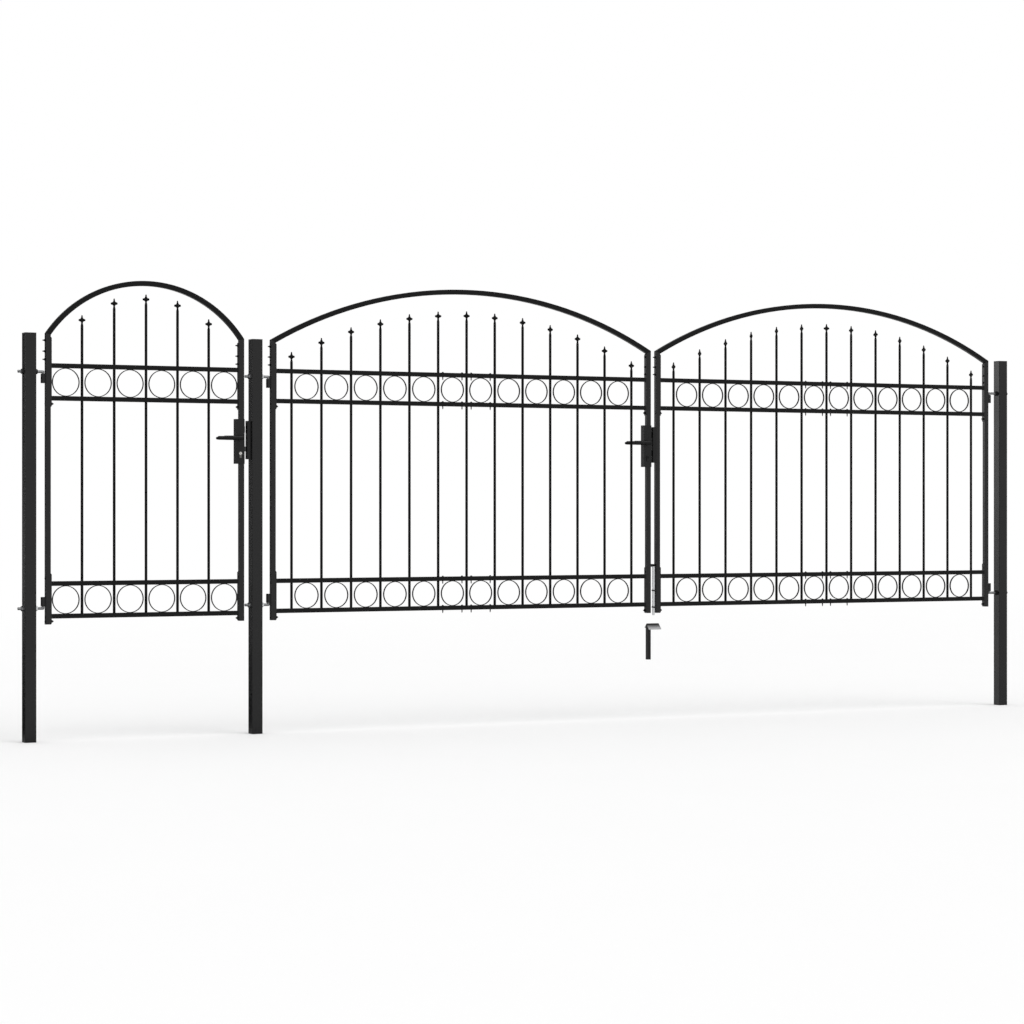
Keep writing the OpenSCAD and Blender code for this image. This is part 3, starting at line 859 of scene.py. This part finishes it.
@dataclass
class Leaf:
    """One arched leaf: its coats, bolts, screws, welds and spears."""

    dresser: Dresser
    name: str
    body: str
    left_stile: str
    right_stile: str
    bars: int
    end_rings: bool
    spliced: bool
    hinge_left: bool
    strip: float = 0.004
    rail: float = 0.020
    barrel: float = 0.040
    pad_reach: float = 0.007
    head: CupHead = CupHead(radius=0.0065, height=0.0028)
    flush_head: CupHead = CupHead(radius=0.0065, height=0.0014)
    long_nut: HexNut = HexNut(
        across=0.0085, thick=0.0045, washer_r=0.0056, washer_t=0.0010, end_r=0.0026, end=0.0065,
    )
    short_nut: HexNut = HexNut(
        across=0.0085, thick=0.0035, washer_r=0.0056, washer_t=0.0010, end_r=0.0026, end=0.0010,
    )
    strip_nut: HexNut = HexNut(
        across=0.0100, thick=0.0050, washer_r=0.0066, washer_t=0.0012, end_r=0.0030, end=0.0043,
    )
    rail_screw: RailScrew = RailScrew(head_r=0.0058, head_h=0.0044, shank_r=0.0031, point=0.0150)
    upper_bolts: Tuple[float, ...] = (0.015, 0.062, 0.097)
    tail_bolt: float = 0.014
    foot_bolt: float = 0.013
    splice_shift: float = 0.0235
    weld: float = 0.0024
    barrel_ripples: int = 13
    ring_weld: float = 0.011
    ring_ripples: int = 4

    def nodes(self) -> List[str]:
        """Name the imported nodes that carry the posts' coat."""
        return [f"{self.name}_strips", f"{self.name}_barrels", self.left_stile, self.right_stile]

    def dark_nodes(self) -> List[str]:
        """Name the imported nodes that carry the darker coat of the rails."""
        return [f"{self.name}_{part}" for part in ("arch", "upper_band", "lower_band")]

    def heights(self) -> Tuple[List[float], float, float, float]:
        """Find the bolts through each stile.

        Returns:
            The heights of the upper bolts, the tail bolt, the middle bolt and the foot bolt.
        """
        strips_low, strips_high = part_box(f"{self.name}_strips")
        return (
            [strips_high.z - drop for drop in self.upper_bolts],
            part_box(f"{self.name}_upper_band")[0].z - self.tail_bolt,
            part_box(f"{self.name}_lower_band")[1].z + self.foot_bolt,
            strips_low.z + self.foot_bolt,
        )

    def bar_line(self) -> Pair:
        """Measure the row of bars.

        Returns:
            The middle of the leaf and the spacing of its bars.
        """
        low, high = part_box(f"{self.name}_bars_row")
        bar = high.y - low.y
        return (low.x + high.x) / 2, (high.x - low.x - bar) / (self.bars - 1)

    def bolts(self) -> None:
        """Add the bolts that tie the bands' strips to the stiles."""
        bench = Bench()
        for stile, on_left in ((self.left_stile, True), (self.right_stile, False)):
            low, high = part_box(stile)
            left_x = low.x if on_left else low.x - self.strip
            right_x = high.x + self.strip if on_left else high.x
            sides = ((left_x, Way.LEFT), (right_x, Way.RIGHT))
            outer, inner = sides if on_left else reversed(sides)
            upper_nut = self.long_nut if on_left or self.end_rings else self.short_nut
            # Flat heads leave room in the gap between the drive leaves
            flush = self.flush_head if stile == "right_meeting_stile" else self.head
            upper, tail, middle, foot = self.heights()
            for z in upper:
                upper_nut.put(bench, (left_x, 0.0, z), Way.LEFT)
                self.head.put(bench, (right_x, 0.0, z), Way.RIGHT)
            for z in (tail, foot):
                self.strip_nut.put(bench, (inner[0], 0.0, z), inner[1])
            for z, head in ((tail, self.head), (middle, flush), (foot, flush)):
                head.put(bench, (outer[0], 0.0, z), outer[1])
            self.head.put(bench, (inner[0], 0.0, middle), inner[1])
        coat = self.dresser.bolt if self.hinge_left else self.dresser.gate
        bench.piece(f"{self.name}_stile_bolts", self.body, coat, Slot.GATE)

    def splice_screws(self) -> None:
        """Add the screws that hold the two halves of each rail."""
        bench = Bench()
        middle, pitch = self.bar_line()
        shift = self.splice_shift
        places = (middle - pitch + shift, middle - shift, middle + shift, middle + pitch - shift)
        for top in self.rail_tops():
            for x in places:
                self.rail_screw.put(bench, x, top, top - self.rail)
        bench.piece(f"{self.name}_splice_screws", self.body, self.dresser.bolt, Slot.GATE)

    def rail_tops(self) -> List[float]:
        """List the heights of the four rails' top faces."""
        bands = [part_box(f"{self.name}_{band}") for band in ("lower_band", "upper_band")]
        return [z for low, high in bands for z in (low.z + self.rail, high.z)]

    def ring_places(self) -> List[float]:
        """Find the rings of one band.

        Returns:
            The rings' places along the gate.
        """
        middle, pitch = self.bar_line()
        extra = 1 if self.end_rings else 0
        return [middle + (i - (self.bars - 2) / 2) * pitch for i in range(-extra, self.bars - 1 + extra)]

    def welds(self) -> None:
        """Add the weld beads at the hinge barrels and where the rings meet the rails."""
        bench = Bench()
        low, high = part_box(f"{self.name}_barrels")
        stile = self.left_stile if self.hinge_left else self.right_stile
        stile_low, stile_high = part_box(stile)
        face = stile_low.x if self.hinge_left else stile_high.x
        for foot in (low.z, high.z - self.barrel):
            for y in (-self.pad_reach, self.pad_reach):
                bench.bead(self.weld, self.barrel, self.barrel_ripples, Way.UP.seat((face, y, foot)))
        tops = self.rail_tops()
        for z in (tops[0], tops[1] - self.rail, tops[2], tops[3] - self.rail):
            for x in self.ring_places():
                seat = Way.RIGHT.seat((x - self.ring_weld / 2, 0.0, z))
                bench.bead(self.weld, self.ring_weld, self.ring_ripples, seat)
        bench.piece(f"{self.name}_welds", self.body, self.dresser.gate, Slot.GATE)

    def build(self) -> None:
        """Dress the leaf and add its fasteners, welds and spears."""
        d = self.dresser
        d.dress(d.gate, *self.nodes())
        d.dress(d.rail, *self.dark_nodes())
        d.dress(d.bar, f"{self.name}_bars_row")
        self.bolts()
        self.welds()
        if self.spliced:
            self.splice_screws()
        SpearRow(self).build()


@dataclass
class SpearRow:
    """Spears on one leaf's bars, each with a flat collar of two rounded lobes."""

    leaf: Leaf
    window: float = 0.03
    lobe_edge: float = 0.008
    centre: float = 0.030
    thick: float = 0.0086
    edge: float = 0.0014
    spear: Profile = (
        (0.0, 0.0), (0.0060, 0.0), (0.0060, 0.0050), (0.0055, 0.0090),
        (0.0044, 0.0140), (0.0038, 0.0200), (0.0040, 0.0300), (0.0039, 0.0380),
        (0.0034, 0.0450), (0.0028, 0.0496), (0.0018, 0.0514), (0.0, 0.0520),
    )
    flare: Profile = ((0.0034, 0.0112), (0.0048, 0.0078), (0.0074, 0.0056))
    end: Profile = ((0.79, 0.0046), (0.91, 0.0024))

    def spots(self) -> List[Tuple[float, float, float, float]]:
        """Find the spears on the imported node.

        Returns:
            The place along the gate, foot height, lobe reach and turn of each spear.
        """
        points = [vertex.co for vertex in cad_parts[f"{self.leaf.name}_finials"].data.vertices]
        middle, pitch = self.leaf.bar_line()
        found = []
        for i in range(self.leaf.bars):
            x = middle + (i - (self.leaf.bars - 1) / 2) * pitch
            near = [Vector((p.x - x, p.y)) for p in points if abs(p.x - x) < self.window]
            foot = min(p.z for p in points if abs(p.x - x) < self.window)
            lobes = [p for p in near if p.length > self.lobe_edge]
            skew = sum(2 * p.x * p.y for p in lobes)
            spread = sum(p.x * p.x - p.y * p.y for p in lobes)
            found.append((x, foot, max(p.length for p in near), math.atan2(skew, spread) / 2))
        return found

    def collar(self, bench: Bench, reach: float, place: Matrix) -> None:
        """Make a flat collar that stands in its own XZ plane.

        Args:
            bench: Bench to add to.
            reach: Reach of the lobes from the bar's axis.
            place: Where the shape goes.
        """
        shape = bmesh.new()
        above = list(self.flare) + [(share * reach, height) for share, height in self.end]
        right = above + [(x, -z) for x, z in reversed(above)]
        outline = right + [(-x, z) for x, z in reversed(right)]
        corners = [shape.verts.new((x, -self.thick / 2, z)) for x, z in outline]
        plate = shape.faces.new(corners)
        grown = bmesh.ops.extrude_face_region(shape, geom=[plate])["geom"]
        moved = [item for item in grown if isinstance(item, bmesh.types.BMVert)]
        bmesh.ops.translate(shape, vec=(0.0, self.thick, 0.0), verts=moved)
        bmesh.ops.recalc_face_normals(shape, faces=shape.faces[:])
        rims = [e for e in shape.edges if abs(e.verts[0].co.y - e.verts[1].co.y) < self.thick / 2]
        bmesh.ops.bevel(
            shape, geom=rims, offset=self.edge, segments=2, profile=0.5, affect="EDGES", material=-1,
        )
        bench.add(shape, place)

    def build(self) -> None:
        """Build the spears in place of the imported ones."""
        bench = Bench()
        for x, foot, reach, turn in self.spots():
            bench.lathe(self.spear, sides=14, place=Matrix.Translation((x, 0.0, foot)))
            centre = Matrix.Translation((x, 0.0, foot + self.centre))
            self.collar(bench, reach, centre @ Matrix.Rotation(turn, 4, "Z"))
        made = bench.piece(f"{self.leaf.name}_spears", self.leaf.body, self.leaf.dresser.bar, Slot.GATE)
        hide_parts(f"{self.leaf.name}_finials")


@dataclass
class LockSet:
    """Lock case with its key cylinder, tongues and levers."""

    dresser: Dresser
    name: str
    leaf: str
    bright: bool
    plug_r: float = 0.0056
    plug_stand: float = 0.0007
    plug: Profile = ((1.12, 0.0), (1.05, 0.5), (1.02, 0.2), (1.0, 1.0), (0.0, 1.0))
    key_slot: Pair = (0.0015, 0.0075)
    slot_lift: float = 0.7
    slot_edge: float = 0.2
    screw: CrossScrew = CrossScrew(radius=0.0034, height=0.0010)
    screw_inset: float = 0.010

    def build(self) -> None:
        """Dress the lock and add its key plugs and screws."""
        d = self.dresser
        d.dress(d.lock, f"{self.name}_lock_case")
        d.dress(d.nickel if self.bright else d.lock, f"{self.name}_lock_cylinder")
        d.dress(d.tongue, f"{self.name}_lock_tongues")
        d.dress(d.lever, f"{self.name}_lever")
        low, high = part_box(f"{self.name}_lock_cylinder")
        middle_x = (low.x + high.x) / 2
        plug_z = high.z - (high.x - low.x) / 2
        plugs, slots = Bench(), Bench()
        wide, tall = self.key_slot
        stand = self.plug_stand
        for y, way in ((low.y, Way.FRONT), (high.y, Way.BACK)):
            seat = way.seat((middle_x, y, plug_z))
            plugs.lathe(scaled(self.plug, self.plug_r, stand), sides=24, place=seat)
            lift = way.value[1] * stand * self.slot_lift
            place = Matrix.Translation((middle_x, y + lift, plug_z))
            slots.block((wide, stand, tall), stand * self.slot_edge, place)
        # Painted highlight: on the bright lock, the key plug is a pale nickel disc against the darker
        # cylinder, standing in for the glint on the cylinder's face.
        plug_finish = (d.plug, Slot.NICKEL) if self.bright else (d.bolt, Slot.LOCK)
        plugs.piece(f"{self.name}_key_plugs", self.leaf, *plug_finish)
        slots.piece(f"{self.name}_key_slots", self.leaf, d.bolt, Slot.LOCK)
        case_low, case_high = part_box(f"{self.name}_lock_case")
        screws = Bench()
        for z in (case_low.z + self.screw_inset, case_high.z - self.screw_inset):
            self.screw.put(screws, (case_low.x, 0.0, z), Way.LEFT)
        screws.piece(f"{self.name}_case_screws", self.leaf, d.bolt, Slot.LOCK)


@dataclass
class DropBoltSet:
    """Drop bolt with its guides, the keep on the leaf, and the ground stop."""

    dresser: Dresser
    screw: CrossScrew = CrossScrew(radius=0.0042, height=0.0012)
    screw_inset: float = 0.011
    stop_plate: float = 0.004
    stop_leg: float = 0.026
    ridge_y: float = -0.013
    sleeve: float = 0.0006
    sleeve_rib: float = 0.0004
    ribs: int = 7
    rib_crest: float = 0.4
    rib_root: float = 0.8
    foot_round: Pair = (0.7, 0.4)
    end_round: float = 0.8

    def build(self) -> None:
        """Dress the pieces and add their screws and the sleeve."""
        d = self.dresser
        d.dress(d.lock, "leaf_keep")
        d.dress(d.gate, "bolt_guides")
        d.dress(d.bright_zinc, "drop_bolt")
        self.handle_sleeve()
        _, stop_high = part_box("ground_stop")
        coat = StopCoat(
            "stop_coat", BLACK, PAINTED_SHEEN_GREY,
            ridge_y=self.ridge_y, ridge_z=stop_high.z, plate=self.stop_plate, leg=self.stop_leg,
        )
        d.dress(coat.material(), "ground_stop")
        low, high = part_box("leaf_keep")
        screws = Bench()
        for z in (low.z + self.screw_inset, high.z - self.screw_inset):
            self.screw.put(screws, (low.x, 0.0, z), Way.LEFT)
        screws.piece("leaf_keep_screws", "right_leaf", d.bolt, Slot.LOCK)

    def handle_sleeve(self) -> None:
        """Pull a ribbed black sleeve over the drop bolt's handle."""
        low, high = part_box("drop_bolt")
        radius = (high.x - low.x) / 2
        bench = Bench()
        length = high.y - low.y
        grip = radius + self.sleeve
        step = (length - grip) / self.ribs
        inset, rise = self.foot_round
        profile = [(0.0, -self.sleeve), (grip * inset, -self.sleeve), (grip, grip * rise)]
        for i in range(self.ribs):
            profile.append((grip + self.sleeve_rib, grip + step * (i + self.rib_crest)))
            profile.append((grip, grip + step * (i + self.rib_root)))
        profile += [(grip * self.end_round, length + self.sleeve), (0.0, length + self.sleeve)]
        seat = Way.BACK.seat(((low.x + high.x) / 2, low.y, high.z - radius))
        bench.lathe(profile, sides=20, place=seat)
        bench.piece("bolt_sleeve", "bolt", self.dresser.bolt, Slot.GATE)


@dataclass
class Studio:
    """Pale floor, soft light and the camera.

    A fade is where a ramp starts and how fast it rises.
    """

    reach: float = 120.0
    clear: Pair = (5.0, 14.0)
    floor_tone: Tone = (0.96, 0.96, 0.96, 1.0)
    floor_cloud: Tone = (0.90, 0.90, 0.90, 1.0)
    clouds: float = 1.5
    cloud_share: float = 0.2
    floor_rough: float = 0.85
    floor_gloss: float = 0.1
    mirrored_tone: Tone = (0.004, 0.004, 0.004, 1.0)
    floor_mirrored: Pair = (0.46, 1.0)
    wedge_front: float = 0.5
    wedge_slope: float = 0.37
    wedge_fade: Pair = (1.9, 0.8)
    ambient: float = 0.87
    front_glow: float = 0.54
    side_glow: float = 2.1
    front_fade: Pair = (0.5, 2.0)
    back_fades: Tuple[Pair, Pair] = ((-0.15, 3.0), (0.2, 3.0))
    box_fades: Tuple[Pair, Pair] = ((-0.48, 10.0), (0.35, 4.0))
    sun: float = 0.75
    sun_angle: float = 50.0
    sun_turn: Triple = (32.0, 22.0, 0.0)
    camera_place: Triple = (-4.617, -11.632, 0.995)
    camera_turn: float = -26.87
    lens: float = 98.7
    sensor: float = 36.0
    shift: float = -0.0025
    sight: float = 500.0

    def floor(self) -> None:
        """Lay the floor, white far from the gate and darker where the coat mirrors it."""
        shape = bmesh.new()
        bmesh.ops.create_grid(shape, x_segments=8, y_segments=8, size=self.reach)
        data = bpy.data.meshes.new("floor")
        shape.to_mesh(data)
        shape.free()
        material, g = new_material("floor_paint")
        place = g.place()
        x, y, _ = g.axes(place)
        middle = (CAD_BOX[0].x + CAD_BOX[1].x) / 2
        across = abs(x - middle).either(abs(y))
        far = ((across - self.clear[0]) * (1.0 / (self.clear[1] - self.clear[0]))).held()
        cloud = g.noise(place, self.clouds, 3.0) * self.cloud_share
        paint = g.out("ShaderNodeBsdfPrincipled", 0, None, {
            "Base Color": g.blend(cloud, self.floor_tone, self.floor_cloud),
            "Roughness": self.floor_rough,
            "Specular IOR Level": self.floor_gloss,
        })
        glow = g.out("ShaderNodeEmission", 0, None, {"Color": WHITE, "Strength": 1.0})
        shade = g.out("ShaderNodeBsdfDiffuse", 0, None, {"Color": self.mirrored_tone})
        pale, dark = self.floor_mirrored
        edge, rise = self.wedge_fade
        left = ((edge - (x + y * self.wedge_slope)) * rise).held()
        back_left = (y + self.wedge_front).held() * left
        share = pale + back_left * (dark - pale)
        mirrored = g.out("ShaderNodeLightPath", "Is Glossy Ray") * share
        looks = self.mixed(g, mirrored, self.mixed(g, far, paint, glow), shade)
        g.node("ShaderNodeOutputMaterial", None, {"Surface": looks})
        data.materials.append(material)
        made = bpy.data.objects.new("floor", data)
        bpy.context.scene.collection.objects.link(made)

    def backdrop(self, g: Graph, level: float) -> Signal:
        """Make an even white background of one brightness."""
        return g.out("ShaderNodeBackground", 0, None, {"Color": WHITE, "Strength": level})

    def mixed(self, g: Graph, share: Signal, first: Signal, second: Signal) -> Signal:
        """Mix two shaders by a share of the second."""
        return g.out("ShaderNodeMixShader", 0, None, {0: share, 1: first, 2: second})

    def light(self) -> None:
        """Light the gate with a soft sun and an even sky, and let the coat mirror soft boxes."""
        world = bpy.data.worlds.new("studio")
        world.use_nodes = True
        g = Graph(world.node_tree)
        path = g.node("ShaderNodeLightPath")
        rays = [Signal(g, path.outputs[f"Is {kind} Ray"]) for kind in ("Camera", "Transmission", "Glossy")]
        seen, mirrored = rays[0].either(rays[1]), rays[2]
        x, y, _ = g.axes(g.out("ShaderNodeTexCoord", "Generated"))
        level, slope = self.front_fade
        front = (level - y * slope).held()
        (edge_x, rise_x), (edge_y, rise_y) = self.back_fades
        behind = ((x - edge_x) * rise_x).held() * ((y - edge_y) * rise_y).held()
        (edge_x, rise_x), (edge_y, rise_y) = self.box_fades
        side = ((edge_x - x) * rise_x).held() * ((y - edge_y) * rise_y).held()
        levels = (0.0, self.ambient, 1.0, self.front_glow, self.side_glow)
        dark, sky, white, panel, box = (self.backdrop(g, level) for level in levels)
        studio = self.mixed(g, side, self.mixed(g, front.either(behind), dark, panel), box)
        looks = self.mixed(g, seen, self.mixed(g, mirrored, sky, studio), white)
        g.node("ShaderNodeOutputWorld", None, {"Surface": looks})
        bpy.context.scene.world = world
        lamp = bpy.data.lights.new("soft_sun", "SUN")
        lamp.energy = self.sun
        lamp.angle = math.radians(self.sun_angle)
        made = bpy.data.objects.new("soft_sun", lamp)
        made.rotation_euler = [math.radians(a) for a in self.sun_turn]
        bpy.context.scene.collection.objects.link(made)

    def camera(self) -> None:
        """Stand the camera where the photograph was taken from."""
        data = bpy.data.cameras.new("camera")
        data.lens = self.lens
        data.sensor_width = self.sensor
        data.sensor_fit = "HORIZONTAL"
        data.shift_y = self.shift
        data.clip_end = self.sight
        made = bpy.data.objects.new("camera", data)
        made.location = self.camera_place
        made.rotation_euler = (math.radians(90), 0.0, math.radians(self.camera_turn))
        bpy.context.scene.collection.objects.link(made)
        bpy.context.scene.camera = made

    def build(self) -> None:
        """Set up the floor, the light and the camera."""
        bpy.context.scene.view_settings.view_transform = "Standard"
        self.floor()
        self.light()
        self.camera()


def main() -> None:
    """Build every sub-assembly."""
    logging.basicConfig(level=logging.INFO, format="%(name)s: %(message)s")
    dresser = Dresser()
    PostSet(dresser).build()
    Leaf(
        dresser, "walk", "walk_leaf", "walk_hinge_stile", "walk_latch_stile",
        bars=5, end_rings=True, spliced=False, hinge_left=True,
    ).build()
    Leaf(
        dresser, "left", "left_leaf", "left_hinge_stile", "left_lock_stile",
        bars=13, end_rings=False, spliced=True, hinge_left=True,
    ).build()
    Leaf(
        dresser, "right", "right_leaf", "right_meeting_stile", "right_hinge_stile",
        bars=13, end_rings=False, spliced=True, hinge_left=False,
    ).build()
    LockSet(dresser, "walk", "walk_leaf", bright=True).build()
    LockSet(dresser, "left", "left_leaf", bright=False).build()
    DropBoltSet(dresser).build()
    Studio().build()


if __name__ == "__main__":
    main()
